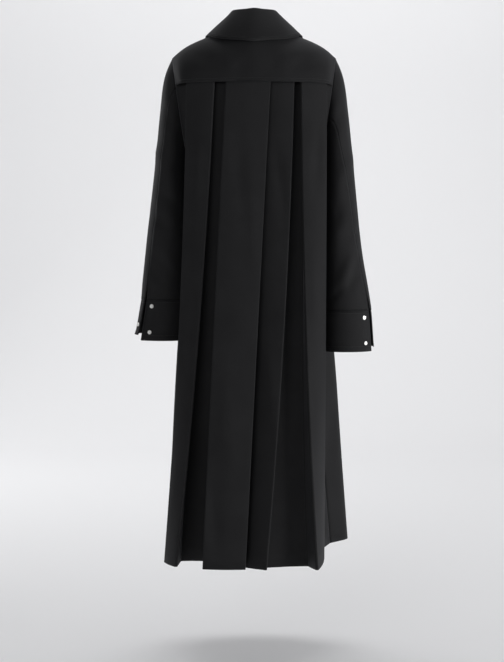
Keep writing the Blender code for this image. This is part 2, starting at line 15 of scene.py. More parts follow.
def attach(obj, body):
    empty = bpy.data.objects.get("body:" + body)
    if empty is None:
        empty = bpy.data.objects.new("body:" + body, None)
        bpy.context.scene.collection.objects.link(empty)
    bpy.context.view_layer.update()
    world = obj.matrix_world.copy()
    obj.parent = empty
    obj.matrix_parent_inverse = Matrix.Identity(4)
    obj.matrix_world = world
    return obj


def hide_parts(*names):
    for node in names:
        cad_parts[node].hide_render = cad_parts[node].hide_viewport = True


bl_info = {
    "name": "Double-breasted coat",
    "version": (1, 0, 0),
    "blender": (4, 5, 0),
    "location": "3D View > Sidebar > Coat",
    "description": "Cloth, sewing, snaps and stage of a long coat with a pleated back",
    "category": "Object",
}

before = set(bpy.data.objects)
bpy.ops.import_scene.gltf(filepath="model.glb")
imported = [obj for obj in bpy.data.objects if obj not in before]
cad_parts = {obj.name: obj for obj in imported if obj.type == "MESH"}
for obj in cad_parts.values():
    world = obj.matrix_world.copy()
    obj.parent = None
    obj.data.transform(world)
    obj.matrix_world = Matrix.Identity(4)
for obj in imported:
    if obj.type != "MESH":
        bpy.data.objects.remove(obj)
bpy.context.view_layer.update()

MM = 0.001

# Photograph's frame and camera, in pixels and metres
PHOTO_HEIGHT = 662
PHOTO_MIDDLE = (252, 331)
FOCAL_PIXELS = 1463
COAT_COLUMN = 254
HORIZON_ROW = 265
CAMERA_PLACE = (0, 3.6, -0.553)
SENSOR_HEIGHT = 24
CLIP_END = 60

# Levels and edges of the cut, as in the solids
YOKE_Z = -120 * MM
CUFF_SEAM_Z = {"left": -638 * MM, "right": -664 * MM}
CUFF_HEM_Z = {"left": -736 * MM, "right": -763 * MM}
SLEEVE_AXIS = {
    "z": (-48, -282, -420, -560, -640, -736),
    "x": (196, 203, 210, 215, 222, 230),
    "y": (-5, 0, 4, 9, 11, 12),
}
SIDES = {"left": 1, "right": -1}

# Creases, in millimetres and degrees: middle across and up, way of its run from level, run, half width, and
# height over the cloth, a ridge above nought and a trough below it
CREASE_COLUMNS = ("x", "z", "angle", "run", "width", "height")
CREASES = {
    "back": {
        "yoke_left_drag": (112, -66, 24, 130, 17, -2.0),
        "yoke_right_drag": (-124, -70, -30, 118, 14, -2.4),
        "yoke_right_ridge": (-96, -52, -26, 90, 16, 1.6),
        "yoke_middle": (30, -92, 78, 66, 22, -1.8),
        "yoke_middle_right": (-44, -84, 98, 58, 18, -1.3),
        "centre_panel_upper": (34, -330, 87, 330, 19, -2.2),
        "centre_panel_ridge": (2, -470, 86, 280, 15, 1.7),
        "centre_panel_lower": (64, -930, 85, 380, 24, 2.6),
        "centre_panel_hem": (92, -1150, 84, 230, 15, -2.6),
        "middle_fold_upper": (-62, -360, 82, 260, 12, -2.0),
        "middle_fold_lower": (-44, -860, 83, 300, 14, 2.2),
        "right_panel_upper": (-150, -300, 92, 240, 13, -2.4),
        "right_panel_seat": (-146, -640, 88, 330, 15, 2.2),
        "right_panel_lower": (-163, -1010, 91, 250, 10, -2.0),
        "left_panel_upper": (136, -340, 94, 250, 14, 2.0),
        "left_panel_seat": (160, -700, 97, 300, 13, -2.4),
        "left_panel_lower": (196, -1090, 99, 210, 12, 2.1),
        "seat_left": (118, -600, 14, 62, 8, -1.3),
        "seat_right": (-130, -575, -17, 54, 7, -1.4),
        "waist_middle": (22, -500, 9, 78, 9, -1.1),
    },
    "front": {
        "chest_left_drag": (118, -108, -38, 120, 15, -3.8),
        "chest_right_drag": (-126, -98, 34, 132, 16, -3.5),
        "breast_left": (104, -260, 74, 150, 18, 2.9),
        "breast_right": (-112, -244, 108, 170, 16, -3.0),
        "waist_left": (134, -420, -14, 84, 10, -2.4),
        "waist_right": (-138, -404, 18, 92, 11, -2.7),
        "hip_left": (150, -640, 82, 280, 18, 3.8),
        "hip_right": (-156, -700, 99, 320, 20, -4.5),
        "skirt_left": (176, -980, 80, 300, 19, -4.8),
        "skirt_right": (-188, -1010, 102, 330, 18, 4.5),
        "skirt_middle": (20, -1080, 88, 260, 22, 3.2),
    },
    "sleeve_left_back": {
        "cap": (208, -190, 66, 120, 15, -2.8),
        "upper_arm": (222, -300, 58, 130, 13, 2.6),
        "elbow_high": (206, -392, 34, 92, 11, -4.0),
        "elbow_low": (224, -452, 42, 104, 12, -3.6),
        "elbow_ridge": (214, -424, 38, 88, 9, 2.6),
        "forearm": (204, -540, 60, 120, 12, 3.0),
        "forearm_low": (236, -578, 52, 88, 10, -2.6),
    },
    "sleeve_right_back": {
        "cap": (-206, -196, 112, 126, 14, -3.0),
        "upper_arm": (-220, -322, 118, 140, 13, 2.4),
        "elbow_facet": (-201, -430, 104, 84, 19, -5.0),
        "elbow_streak": (-225, -560, 113, 128, 10, 4.4),
        "elbow_hollow": (-240, -588, 115, 96, 11, -3.2),
        "elbow_fold": (-228, -476, 140, 84, 11, -3.4),
        "forearm_low": (-198, -622, 128, 76, 9, -2.2),
    },
    "sleeve_left_front": {
        "elbow_bend": (212, -410, -20, 104, 11, -4.2),
        "elbow_bend_low": (208, -456, -32, 92, 10, -3.4),
        "upper_arm": (214, -280, -64, 120, 14, 2.6),
        "forearm": (220, -566, -50, 110, 12, -2.6),
    },
    "sleeve_right_front": {
        "elbow_bend": (-210, -428, 22, 98, 12, -4.0),
        "elbow_bend_low": (-212, -480, 36, 88, 10, -3.2),
        "upper_arm": (-212, -300, 62, 130, 13, 2.4),
        "forearm": (-222, -590, 54, 104, 11, -2.8),
    },
}

# The body's creases fade at its sides, over this distance front to back
CREASE_SIDE_FADE = 45 * MM
# A sleeve's creases fade at its sides, slower with a smaller gain, and at its top: the level where they end
# and the height that they fade over
SLEEVE_SIDE_GAIN = 1.6
SLEEVE_TOP_FADE = (YOKE_Z + 60 * MM, 120 * MM)
# Dips of the cloth into a seam: half width and depth, and the distance that the yoke seam fades over
SEAM_DIP = {"yoke": (7 * MM, 0.9 * MM), "cuff": (4 * MM, 0.4 * MM)}
SEAM_SIDE_FADE = 60 * MM
# The yoke's lower edge lies over the back: height of the turn, and how far it moves out and down
YOKE_LAP = (10 * MM, 0.6 * MM, 1.8 * MM)
# A cuff's hem beside its lapped end: its lift and the end's angle round the sleeve, in degrees, then the turn
# that it holds over, and the turn and height that it fades over
CUFF_END = {"left": (15 * MM, 42), "right": (11 * MM, 19)}
CUFF_END_FADE = (100, 95, 48 * MM)
# The layer under a lapped end stays: its greatest radius, and the turn either side of the end
CUFF_UNDER = (62 * MM, 6)
SNAP_CLEAR = 22 * MM
# Cut edges are faces narrower than this, and each is drawn out by this much to shut its seam
CUT_EDGE = 2.3 * MM
SEAM_CLOSE = 0.35 * MM
# Edges that turn by more than this stay sharp
RIM_ANGLE = math.radians(60)
# Triangles are joined in pairs up to these angles between them and off square
JOIN_ANGLE = math.radians(40)
JOIN_SHAPE = math.radians(120)
SMOOTH_LEVELS = 2
MERGE = 0.02 * MM
TINY = 1e-9

# Sewing thread and stitches
STITCH_LENGTH = 3.2 * MM
STITCH_PITCH = 4.2 * MM
THREAD_RADIUS = 0.28 * MM
STITCH_SINK = 0.12 * MM
STITCH_RINGS = ((-0.5, 0.35, -0.6), (-0.3, 1.0, 0.3), (0.3, 1.0, 0.3), (0.5, 0.35, -0.6))
STITCH_SIDES = 6
SEAM_TO_STITCH = 6 * MM
# Rows are found by rays from outside: their starts, the space between them, and the step that breaks a row
RAY_START = 0.6
SLEEVE_RAY_START = 0.3
ROW_STEP = 1.4 * MM
ROW_BREAK = 3 * MM
ROW_SHORTEST = 1e-7
YOKE_ROW_HALF = 186 * MM
FRONT_ROW = {"x": 82 * MM, "top": -372 * MM, "foot": -1240 * MM}
# Turns in degrees: first, last and step
CUFF_ROW_TURN = (0, 361, 1.2)
COLLAR_ROW_TURN = (-38, 219, 0.4)
# The collar's edge at a turn is its farthest corner within this far of the ray and beyond this radius
COLLAR_BESIDE = 12 * MM
COLLAR_RADIUS = 60 * MM

# Snap cap: sizes in millimetres
SNAP_SIZES = {
    "radius": 5.0,
    "height": 1.7,
    "rim": 0.9,
    "dish": 0.55,
    "boss": 1.5,
    "boss_rise": 0.35,
    "round": 0.4,
}
SNAP_SIDES = 40
SNAP_ROUND_STEPS = 3
SNAP_ROUND_ANGLE = math.radians(28)
SNAP_SMOOTH_ANGLE = math.radians(35)
# The corners at either end of a snap's solid lie within this far of its end
SNAP_END = 0.3 * MM
# Faces on top of a cap have at least this Z in their normals
UPWARD = 0.9

# Patterns of the materials
FIBRE = 2.4 * MM
TWILL_TURN = (0.0, math.radians(27), math.radians(35))
THREAD_TWIST = 0.4 * MM
ROLLER_GRAIN = 3 * MM

# Stage, in metres: the sweep's floor and wall, then each lamp's place, aim and size
SWEEP = {"size": 30, "middle": 9, "wall_before": -5, "wall": 13, "round": 2.2, "round_steps": 16}
LAMPS = {
    "key": ((-4.6, 2.0, -0.6), (0, 0.05, -0.6), 1.7),
    "fill": ((1.5, 4.0, 0.1), (0, 0.05, -0.6), 2.0),
    "far_side": ((3.3, -3.2, 0.6), (0, 0, -0.6), 1.8),
    "wash": ((0, -2.4, 4.6), (0, -6.0, 0.4), 4.0),
}


class CoatCloth(bpy.types.PropertyGroup):
    """Cloth and sewing."""

    dark: bpy.props.StringProperty(name="Dark", description="Cloth colour in its valleys", default="#151516")
    light: bpy.props.StringProperty(name="Light", description="Cloth colour on its crowns", default="#1d1d1e")
    thread: bpy.props.StringProperty(name="Thread", description="Sewing thread's colour", default="#1d1d1f")
    roughness: bpy.props.FloatProperty(
        name="Roughness", description="Roughness of the cloth", default=0.8, min=0, max=1
    )
    sheen: bpy.props.FloatProperty(
        name="Sheen", description="Sheen of the short nap", default=0.09, min=0, max=1
    )
    twill: bpy.props.FloatProperty(
        name="Twill", description="Spacing of the twill lines", default=1.6 * MM, unit="LENGTH"
    )
    mottle: bpy.props.FloatProperty(
        name="Mottle", description="Size of the soft patches of nap", default=70 * MM, unit="LENGTH"
    )
    crease: bpy.props.FloatProperty(
        name="Creases", description="Height of the creases, as a share of their tables", default=1.6
    )


class CoatSnaps(bpy.types.PropertyGroup):
    """Snap caps."""

    metal: bpy.props.StringProperty(name="Metal", description="Colour of the plated caps", default="#ecece9")
    roughness: bpy.props.FloatProperty(
        name="Roughness", description="Roughness of the plating", default=0.42, min=0, max=1
    )
    scratch: bpy.props.FloatProperty(
        name="Scratches", description="Spacing of the fine wear marks", default=0.6 * MM, unit="LENGTH"
    )


class CoatStage(bpy.types.PropertyGroup):
    """Floor, backdrop and light."""

    floor: bpy.props.FloatProperty(
        name="Floor", description="Height of the floor", default=-1.518, unit="LENGTH"
    )
    sweep: bpy.props.StringProperty(
        name="Sweep", description="Colour of floor and backdrop", default="#e9e9ea"
    )
    key: bpy.props.FloatProperty(name="Key", description="Power of the key light", default=180, unit="POWER")
    fill: bpy.props.FloatProperty(
        name="Fill", description="Power of the fill light", default=39, unit="POWER"
    )
    far_side: bpy.props.FloatProperty(
        name="Far side", description="Power of the light on the far side", default=45, unit="POWER"
    )
    wash: bpy.props.FloatProperty(
        name="Wash", description="Power of the light on the sweep", default=205, unit="POWER"
    )
    sky: bpy.props.FloatProperty(name="Sky", description="Strength of the light all round", default=0.25)


def linear(code):
    """A colour given as an sRGB hex code, as linear RGBA."""
    parts = [int(code[i : i + 2], 16) / 255 for i in (1, 3, 5)]
    return [c / 12.92 if c <= 0.04045 else ((c + 0.055) / 1.055) ** 2.4 for c in parts] + [1.0]


def add_node(tree, kind, settings=None, values=None, links=None):
    """Adds a node with its settings, socket values and links from other nodes' outputs."""
    node = tree.nodes.new(kind)
    for name, value in (settings or {}).items():
        setattr(node, name, value)
    for name, value in (values or {}).items():
        node.inputs[name].default_value = value
    for name, (source, output) in (links or {}).items():
        tree.links.new(source.outputs[output], node.inputs[name])
    return node


def new_material(name):
    """An empty node material and its Principled shader."""
    made = bpy.data.materials.new(name)
    made.use_nodes = True
    return made, made.node_tree, made.node_tree.nodes["Principled BSDF"]


def cloth_material():
    """Black wool twill with a short pressed nap: matt, with a faint sheen and soft patches of light and dark.

    The twill's lines are drawn coarser than the real 0.5 mm, so that they show in a close view.
    """
    found = bpy.data.materials.get("black_wool_twill")
    if found:
        return found
    cloth = bpy.context.scene.coat_cloth
    made, tree, shader = new_material("black_wool_twill")
    place = add_node(tree, "ShaderNodeTexCoord")
    patches = add_node(
        tree,
        "ShaderNodeTexNoise",
        values={"Scale": 1 / cloth.mottle, "Detail": 3.0, "Roughness": 0.5},
        links={"Vector": (place, "Object")},
    )
    fibres = add_node(
        tree,
        "ShaderNodeTexNoise",
        values={"Scale": 1 / FIBRE, "Detail": 4.0, "Roughness": 0.6},
        links={"Vector": (place, "Object")},
    )
    slant = add_node(
        tree,
        "ShaderNodeMapping",
        values={"Rotation": TWILL_TURN},
        links={"Vector": (place, "Object")},
    )
    # At a scale of 1 the bands of a wave are tau / 20 apart
    lines = add_node(
        tree,
        "ShaderNodeTexWave",
        settings={"wave_type": "BANDS", "bands_direction": "Z"},
        values={"Scale": math.tau / 20 / cloth.twill, "Distortion": 0.6, "Detail": 1.0, "Detail Scale": 3.0},
        links={"Vector": (slant, "Vector")},
    )
    shade = add_node(
        tree,
        "ShaderNodeMix",
        settings={"data_type": "FLOAT"},
        values={"Factor": 0.35},
        links={"A": (patches, "Fac"), "B": (fibres, "Fac")},
    )
    colour = add_node(tree, "ShaderNodeValToRGB", links={"Fac": (shade, "Result")})
    colour.color_ramp.elements[0].position = 0.32
    colour.color_ramp.elements[0].color = linear(cloth.dark)
    colour.color_ramp.elements[1].position = 0.68
    colour.color_ramp.elements[1].color = linear(cloth.light)
    gloss = add_node(
        tree,
        "ShaderNodeMapRange",
        values={"To Min": cloth.roughness - 0.05, "To Max": cloth.roughness + 0.09},
        links={"Value": (patches, "Fac")},
    )
    relief = add_node(
        tree,
        "ShaderNodeMix",
        settings={"data_type": "FLOAT"},
        values={"Factor": 0.45},
        links={"A": (lines, "Fac"), "B": (fibres, "Fac")},
    )
    bump = add_node(
        tree,
        "ShaderNodeBump",
        values={"Strength": 0.22, "Distance": 0.25 * MM},
        links={"Height": (relief, "Result")},
    )
    tree.links.new(colour.outputs["Color"], shader.inputs["Base Color"])
    tree.links.new(gloss.outputs["Result"], shader.inputs["Roughness"])
    tree.links.new(bump.outputs["Normal"], shader.inputs["Normal"])
    shader.inputs["Sheen Weight"].default_value = cloth.sheen
    shader.inputs["Sheen Roughness"].default_value = 0.45
    shader.inputs["Sheen Tint"].default_value = linear("#b9bac0")
    shader.inputs["Specular IOR Level"].default_value = 0.18
    return made


def thread_material():
    """Black polyester sewing thread: twisted, a little glossier than the cloth."""
    found = bpy.data.materials.get("black_polyester_thread")
    if found:
        return found
    cloth = bpy.context.scene.coat_cloth
    made, tree, shader = new_material("black_polyester_thread")
    place = add_node(tree, "ShaderNodeTexCoord")
    twist = add_node(
        tree,
        "ShaderNodeTexNoise",
        values={"Scale": 1 / THREAD_TWIST, "Detail": 2.0},
        links={"Vector": (place, "Object")},
    )
    colour = add_node(tree, "ShaderNodeValToRGB", links={"Fac": (twist, "Fac")})
    colour.color_ramp.elements[0].color = linear(cloth.dark)
    colour.color_ramp.elements[1].color = linear(cloth.thread)
    tree.links.new(colour.outputs["Color"], shader.inputs["Base Color"])
    shader.inputs["Roughness"].default_value = 0.5
    return made


def snap_material():
    """Nickel-plated brass: stamped and barrel polished, bright, with fine wear marks."""
    found = bpy.data.materials.get("nickel_plated_brass")
    if found:
        return found
    snaps = bpy.context.scene.coat_snaps
    made, tree, shader = new_material("nickel_plated_brass")
    place = add_node(tree, "ShaderNodeTexCoord")
    marks = add_node(
        tree,
        "ShaderNodeTexNoise",
        values={"Scale": 1 / snaps.scratch, "Detail": 5.0, "Roughness": 0.7},
        links={"Vector": (place, "Object")},
    )
    colour = add_node(tree, "ShaderNodeValToRGB", links={"Fac": (marks, "Fac")})
    colour.color_ramp.elements[0].color = linear("#cfcfcc")
    colour.color_ramp.elements[1].color = linear(snaps.metal)
    gloss = add_node(
        tree,
        "ShaderNodeMapRange",
        values={"To Min": snaps.roughness - 0.08, "To Max": snaps.roughness + 0.12},
        links={"Value": (marks, "Fac")},
    )
    bump = add_node(
        tree,
        "ShaderNodeBump",
        values={"Strength": 0.08, "Distance": 0.05 * MM},
        links={"Height": (marks, "Fac")},
    )
    tree.links.new(colour.outputs["Color"], shader.inputs["Base Color"])
    tree.links.new(gloss.outputs["Result"], shader.inputs["Roughness"])
    tree.links.new(bump.outputs["Normal"], shader.inputs["Normal"])
    shader.inputs["Metallic"].default_value = 1.0
    return made


def sweep_material():
    """Matt emulsion paint on the studio's floor and sweep, with a faint roller texture."""
    made, tree, shader = new_material("matt_emulsion_paint")
    place = add_node(tree, "ShaderNodeTexCoord")
    roller = add_node(
        tree,
        "ShaderNodeTexNoise",
        values={"Scale": 1 / ROLLER_GRAIN, "Detail": 2.0},
        links={"Vector": (place, "Object")},
    )
    bump = add_node(
        tree,
        "ShaderNodeBump",
        values={"Strength": 0.02, "Distance": 0.1 * MM},
        links={"Height": (roller, "Fac")},
    )
    tree.links.new(bump.outputs["Normal"], shader.inputs["Normal"])
    shader.inputs["Base Color"].default_value = linear(bpy.context.scene.coat_stage.sweep)
    shader.inputs["Roughness"].default_value = 0.9
    return made


def only(piece):
    """Selects this piece alone and makes it active."""
    bpy.ops.object.select_all(action="DESELECT")
    piece.select_set(True)
    bpy.context.view_layer.objects.active = piece


def corners(node):
    """A solid's own points, each once."""
    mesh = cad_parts[node].data
    points = np.empty(len(mesh.vertices) * 3)
    mesh.vertices.foreach_get("co", points)
    return np.unique(points.reshape(-1, 3).round(6), axis=0)


def snap_frame(node):
    """The middle of a snap's foot and its outward way, from its solid."""
    points = corners(node)
    middle = points.mean(axis=0)
    way = np.linalg.svd(points - middle)[2][2]
    height = (points - middle) @ way
    reach = np.linalg.norm(points - middle - np.outer(height, way), axis=1)
    top = reach[height > height.max() - SNAP_END].max()
    foot = reach[height < height.min() + SNAP_END].max()
    if top > foot:
        way, height = -way, -height
    return middle + way * height.min(), way


def crease_height(points, table):
    """The height of a table of creases at each point, as seen along Y."""
    total = np.zeros(len(points))
    for crease in table.values():
        row = dict(zip(CREASE_COLUMNS, crease))
        turn = math.radians(row["angle"])
        across, up = points[:, 0] - row["x"] * MM, points[:, 2] - row["z"] * MM
        along = (across * math.cos(turn) + up * math.sin(turn)) / (row["run"] * MM / 2)
        aside = (up * math.cos(turn) - across * math.sin(turn)) / (row["width"] * MM)
        fade = np.clip(1 - along * along, 0, 1)
        total += row["height"] * MM * fade * fade * np.exp(-aside * aside)
    return total * bpy.context.scene.coat_cloth.crease


def clear_of_snaps(points):
    """Fades creases out round the snaps, so that each cap stays seated."""
    share = np.ones(len(points))
    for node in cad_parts:
        if node.startswith("snap"):
            gap = np.linalg.norm(points - snap_frame(node)[0], axis=1) / SNAP_CLEAR
            share *= 1 - np.exp(-gap * gap)
    return share


def sleeve_axis(z):
    """Middle of a sleeve's section on the wearer's left, at each height."""
    order = np.argsort(SLEEVE_AXIS["z"])
    keys = np.array(SLEEVE_AXIS["z"])[order] * MM
    return [np.interp(z, keys, np.array(SLEEVE_AXIS[k])[order] * MM) for k in ("x", "y")]


def body_move(node, points):
    """How far creases and seams move the cloth of the body."""
    move = np.zeros_like(points)
    behind = points[:, 1] > 0
    for name, side, way in (("back", behind, 1), ("front", ~behind, -1)):
        amount = crease_height(points, CREASES[name]) * side
        amount *= np.clip(np.abs(points[:, 1]) / CREASE_SIDE_FADE, 0, 1)
        move[:, 1] += amount * way
    if node == "back_yoke":
        width, rise, drop = YOKE_LAP
        near = np.clip(1 - (points[:, 2] - YOKE_Z) / width, 0, 1) * behind
        near *= near
        move[:, 1] += rise * near
        move[:, 2] -= drop * near
    if node == "back_panel":
        width, depth = SEAM_DIP["yoke"]
        near = (YOKE_Z - points[:, 2]) / width
        move[:, 1] -= depth * np.exp(-near * near) * np.clip(points[:, 1] / SEAM_SIDE_FADE, 0, 1)
    return move * clear_of_snaps(points)[:, None]


def cuff_end_lift(side, angle, z):
    """How far a cuff's hem rises beside its lapped end, at each angle round the sleeve and height."""
    lift, end = CUFF_END[side]
    hold, fade, height = CUFF_END_FADE
    near = np.where(angle < end, np.clip(1 - (end - angle - hold) / fade, 0, 1), 0.0)
    low = np.clip(1 - (z - CUFF_HEM_Z[side]) / height, 0, 1)
    return lift * near * near * (3 - 2 * near) * low * low


def sleeve_move(side, points):
    """How far creases, the cuff's seam and its lapped end move the cloth of a sleeve."""
    mirror = SIDES[side]
    x, y = sleeve_axis(points[:, 2])
    out = np.stack((points[:, 0] * mirror - x, points[:, 1] - y), axis=1)
    radius = np.linalg.norm(out, axis=1)
    out /= np.maximum(radius, TINY)[:, None]
    amount = np.zeros(len(points))
    for name, part in (("back", out[:, 1] > 0), ("front", out[:, 1] <= 0)):
        amount += crease_height(points, CREASES[f"sleeve_{side}_{name}"]) * part
    amount *= np.clip(np.abs(out[:, 1]) * SLEEVE_SIDE_GAIN, 0, 1)
    width, depth = SEAM_DIP["cuff"]
    near = (points[:, 2] - CUFF_SEAM_Z[side]) / width
    amount -= depth * np.exp(-near * near)
    top, height = SLEEVE_TOP_FADE
    amount *= np.clip((top - points[:, 2]) / height, 0, 1)
    move = np.zeros_like(points)
    move[:, 0], move[:, 1] = out[:, 0] * amount * mirror, out[:, 1] * amount
    angle = np.degrees(np.arctan2(out[:, 1], out[:, 0]))
    under = (radius < CUFF_UNDER[0]) & (np.abs(angle - CUFF_END[side][1]) < CUFF_UNDER[1])
    move[:, 2] = np.where(under, 0, cuff_end_lift(side, angle, points[:, 2]))
    return move * clear_of_snaps(points)[:, None]


def close_seams(shape, creased):
    """Draws out the cut edges of a shell, so that no light comes through its seams."""
    shape.normal_update()
    ways = {}
    for face in shape.faces:
        narrow = min(edge.calc_length() for edge in face.edges) < CUT_EDGE
        if narrow and any(edge[creased] for edge in face.edges):
            for vert in face.verts:
                ways[vert] = ways.get(vert, Vector()) + face.normal
    for vert, way in ways.items():
        vert.co += way.normalized() * SEAM_CLOSE


def cloth_piece(node, move):
    """A thin shell of cloth on a solid's form: merged, smoothed between its edges, then creased."""
    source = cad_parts[node]
    piece = bpy.data.objects.new("cloth_" + node, source.data.copy())
    bpy.context.scene.collection.objects.link(piece)
    shape = bmesh.new()
    shape.from_mesh(piece.data)
    bmesh.ops.remove_doubles(shape, verts=shape.verts, dist=MERGE)
    bmesh.ops.join_triangles(
        shape,
        faces=shape.faces,
        cmp_seam=False,
        cmp_sharp=False,
        cmp_uvs=False,
        cmp_vcols=False,
        cmp_materials=False,
        angle_face_threshold=JOIN_ANGLE,
        angle_shape_threshold=JOIN_SHAPE,
    )
    layers = shape.edges.layers.float
    creased = layers.get("crease_edge") or layers.new("crease_edge")
    for edge in shape.edges:
        sharp = len(edge.link_faces) != 2 or edge.calc_face_angle(0.0) > RIM_ANGLE
        edge[creased] = 1.0 if sharp else 0.0
    close_seams(shape, creased)
    shape.to_mesh(piece.data)
    shape.free()
    only(piece)
    smooth = piece.modifiers.new("smooth", "SUBSURF")
    smooth.levels = smooth.render_levels = SMOOTH_LEVELS
    bpy.ops.object.modifier_apply(modifier=smooth.name)
    mesh = piece.data
    points = np.empty(len(mesh.vertices) * 3)
    mesh.vertices.foreach_get("co", points)
    points = points.reshape(-1, 3)
    mesh.vertices.foreach_set("co", (points + move(points)).ravel())
    mesh.update()
    only(piece)
    bpy.ops.object.shade_smooth_by_angle(angle=RIM_ANGLE)
    mesh.materials.clear()
    mesh.materials.append(cloth_material())
    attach(piece, "root")
    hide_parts(node)


class COAT_OT_back(bpy.types.Operator):
    """Makes the yoke and the pleated back"""

    bl_idname = "object.coat_back"
    bl_label = "Back"

    def execute(self, context):
        for node in ("back_yoke", "back_panel"):
            cloth_piece(node, lambda points, node=node: body_move(node, points))
        return {"FINISHED"}


class COAT_OT_fronts(bpy.types.Operator):
    """Makes the overlapped fronts and their lapels"""

    bl_idname = "object.coat_fronts"
    bl_label = "Fronts"

    def execute(self, context):
        for node in ("front_left", "front_right", "lapel_left", "lapel_right"):
            cloth_piece(node, lambda points, node=node: body_move(node, points))
        return {"FINISHED"}


class COAT_OT_collar(bpy.types.Operator):
    """Makes the turned-down collar"""

    bl_idname = "object.coat_collar"
    bl_label = "Collar"

    def execute(self, context):
        cloth_piece("collar", np.zeros_like)
        return {"FINISHED"}


class COAT_OT_sleeves(bpy.types.Operator):
    """Makes the sleeves and their cuffs"""

    bl_idname = "object.coat_sleeves"
    bl_label = "Sleeves"

    def execute(self, context):
        for side in SIDES:
            for part in ("sleeve_under_", "sleeve_upper_", "cuff_"):
                cloth_piece(part + side, lambda points, side=side: sleeve_move(side, points))
        return {"FINISHED"}


def snap_cap():
    """A stamped cap at the origin: rounded edge, raised rim, dished middle and a low boss."""
    size = {name: value * MM for name, value in SNAP_SIZES.items()}
    bpy.ops.object.select_all(action="DESELECT")
    bpy.ops.mesh.primitive_cylinder_add(
        vertices=SNAP_SIDES, radius=size["radius"], depth=size["height"], location=(0, 0, size["height"] / 2)
    )
    cap = bpy.context.object
    bpy.ops.object.transform_apply(location=True)
    bpy.ops.object.mode_set(mode="EDIT")
    bpy.ops.mesh.select_all(action="DESELECT")
    shape = bmesh.from_edit_mesh(cap.data)
    for face in shape.faces:
        face.select_set(face.normal.z > UPWARD)
    bmesh.update_edit_mesh(cap.data)
    bpy.ops.mesh.inset(thickness=size["rim"])
    bpy.ops.mesh.inset(thickness=size["dish"])
    bpy.ops.transform.translate(value=(0, 0, -size["dish"]))
    bpy.ops.mesh.inset(thickness=size["radius"] - size["rim"] - size["dish"] - size["boss"])
    bpy.ops.mesh.inset(thickness=size["boss_rise"])
    bpy.ops.transform.translate(value=(0, 0, size["boss_rise"]))
    bpy.ops.object.mode_set(mode="OBJECT")
    edge = cap.modifiers.new("edge", "BEVEL")
    edge.width = size["round"]
    edge.segments = SNAP_ROUND_STEPS
    edge.limit_method = "ANGLE"
    edge.angle_limit = SNAP_ROUND_ANGLE
    bpy.ops.object.modifier_apply(modifier=edge.name)
    bpy.ops.object.shade_smooth_by_angle(angle=SNAP_SMOOTH_ANGLE)
    return cap


class COAT_OT_snaps(bpy.types.Operator):
    """Makes the snap caps of the cuffs and the front"""

    bl_idname = "object.coat_snaps"
    bl_label = "Snaps"

    def execute(self, context):
        cap = snap_cap()
        cap.data.materials.append(snap_material())
        for node in sorted(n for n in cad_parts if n.startswith("snap")):
            foot, way = snap_frame(node)
            piece = bpy.data.objects.new("cap_" + node, cap.data.copy())
            turn = Vector(way).to_track_quat("Z", "Y").to_matrix().to_4x4()
            piece.data.transform(Matrix.Translation(foot) @ turn)
            context.scene.collection.objects.link(piece)
            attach(piece, "root")
            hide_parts(node)
        bpy.data.objects.remove(cap, do_unlink=True)
        return {"FINISHED"}


def on_cloth(pieces, starts, ways):
    """Where rays from outside meet these pieces of cloth: place and outward way of each that does."""
    trees = []
    for piece in pieces:
        mesh = bpy.data.objects["cloth_" + piece].data
        trees.append(BVHTree.FromPolygons([v.co for v in mesh.vertices], [p.vertices for p in mesh.polygons]))
    found = []
    for start, way in zip(starts, ways):
        hits = [tree.ray_cast(Vector(start), Vector(way)) for tree in trees]
        hits = [hit for hit in hits if hit[0] is not None]
        if hits:
            place, normal = min(hits, key=lambda hit: hit[3])[:2]
            normal = normal if normal.dot(Vector(way)) < 0 else -normal
            found.append((np.array(place), np.array(normal)))
    return found


def spaced(found, gap):
    """Places along a run of points, one stitch apart, with the run's way, broken where the cloth steps."""
    out = []
    carry = 0.0
    for (a, normal), (b, _) in zip(found, found[1:]):
        step = b - a
        length = np.linalg.norm(step)
        if length > gap or length < ROW_SHORTEST:
            carry = 0.0
            continue
        while carry < length:
            out.append((a + step * carry / length, step / length, normal))
            carry += STITCH_PITCH
        carry -= length
    return out


def stitches(name, run):
    """A row of stitches as one mesh, each a short thread whose ends go down into the cloth."""
    points, faces = [], []
    for place, along, normal in run:
        aside = np.cross(normal, along)
        first = len(points)
        for share, thick, rise in STITCH_RINGS:
            centre = place + along * share * STITCH_LENGTH + normal * (rise * THREAD_RADIUS + STITCH_SINK)
            for k in range(STITCH_SIDES):
                turn = math.tau * k / STITCH_SIDES
                ring = aside * math.cos(turn) + normal * math.sin(turn)
                points.append(centre + ring * THREAD_RADIUS * thick)
        for r in range(len(STITCH_RINGS) - 1):
            for k in range(STITCH_SIDES):
                j = (k + 1) % STITCH_SIDES
                low, high = first + r * STITCH_SIDES, first + (r + 1) * STITCH_SIDES
                faces.append((low + k, low + j, high + j, high + k))
        faces.append(tuple(first + k for k in reversed(range(STITCH_SIDES))))
        last = first + (len(STITCH_RINGS) - 1) * STITCH_SIDES
        faces.append(tuple(last + k for k in range(STITCH_SIDES)))
    mesh = bpy.data.meshes.new(name)
    mesh.from_pydata([tuple(p) for p in points], [], faces)
    mesh.materials.append(thread_material())
    piece = bpy.data.objects.new(name, mesh)
    bpy.context.scene.collection.objects.link(piece)
    only(piece)
    bpy.ops.object.mode_set(mode="EDIT")
    bpy.ops.mesh.select_all(action="SELECT")
    bpy.ops.mesh.normals_make_consistent(inside=False)
    bpy.ops.object.mode_set(mode="OBJECT")
    bpy.ops.object.shade_smooth()
    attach(piece, "root")


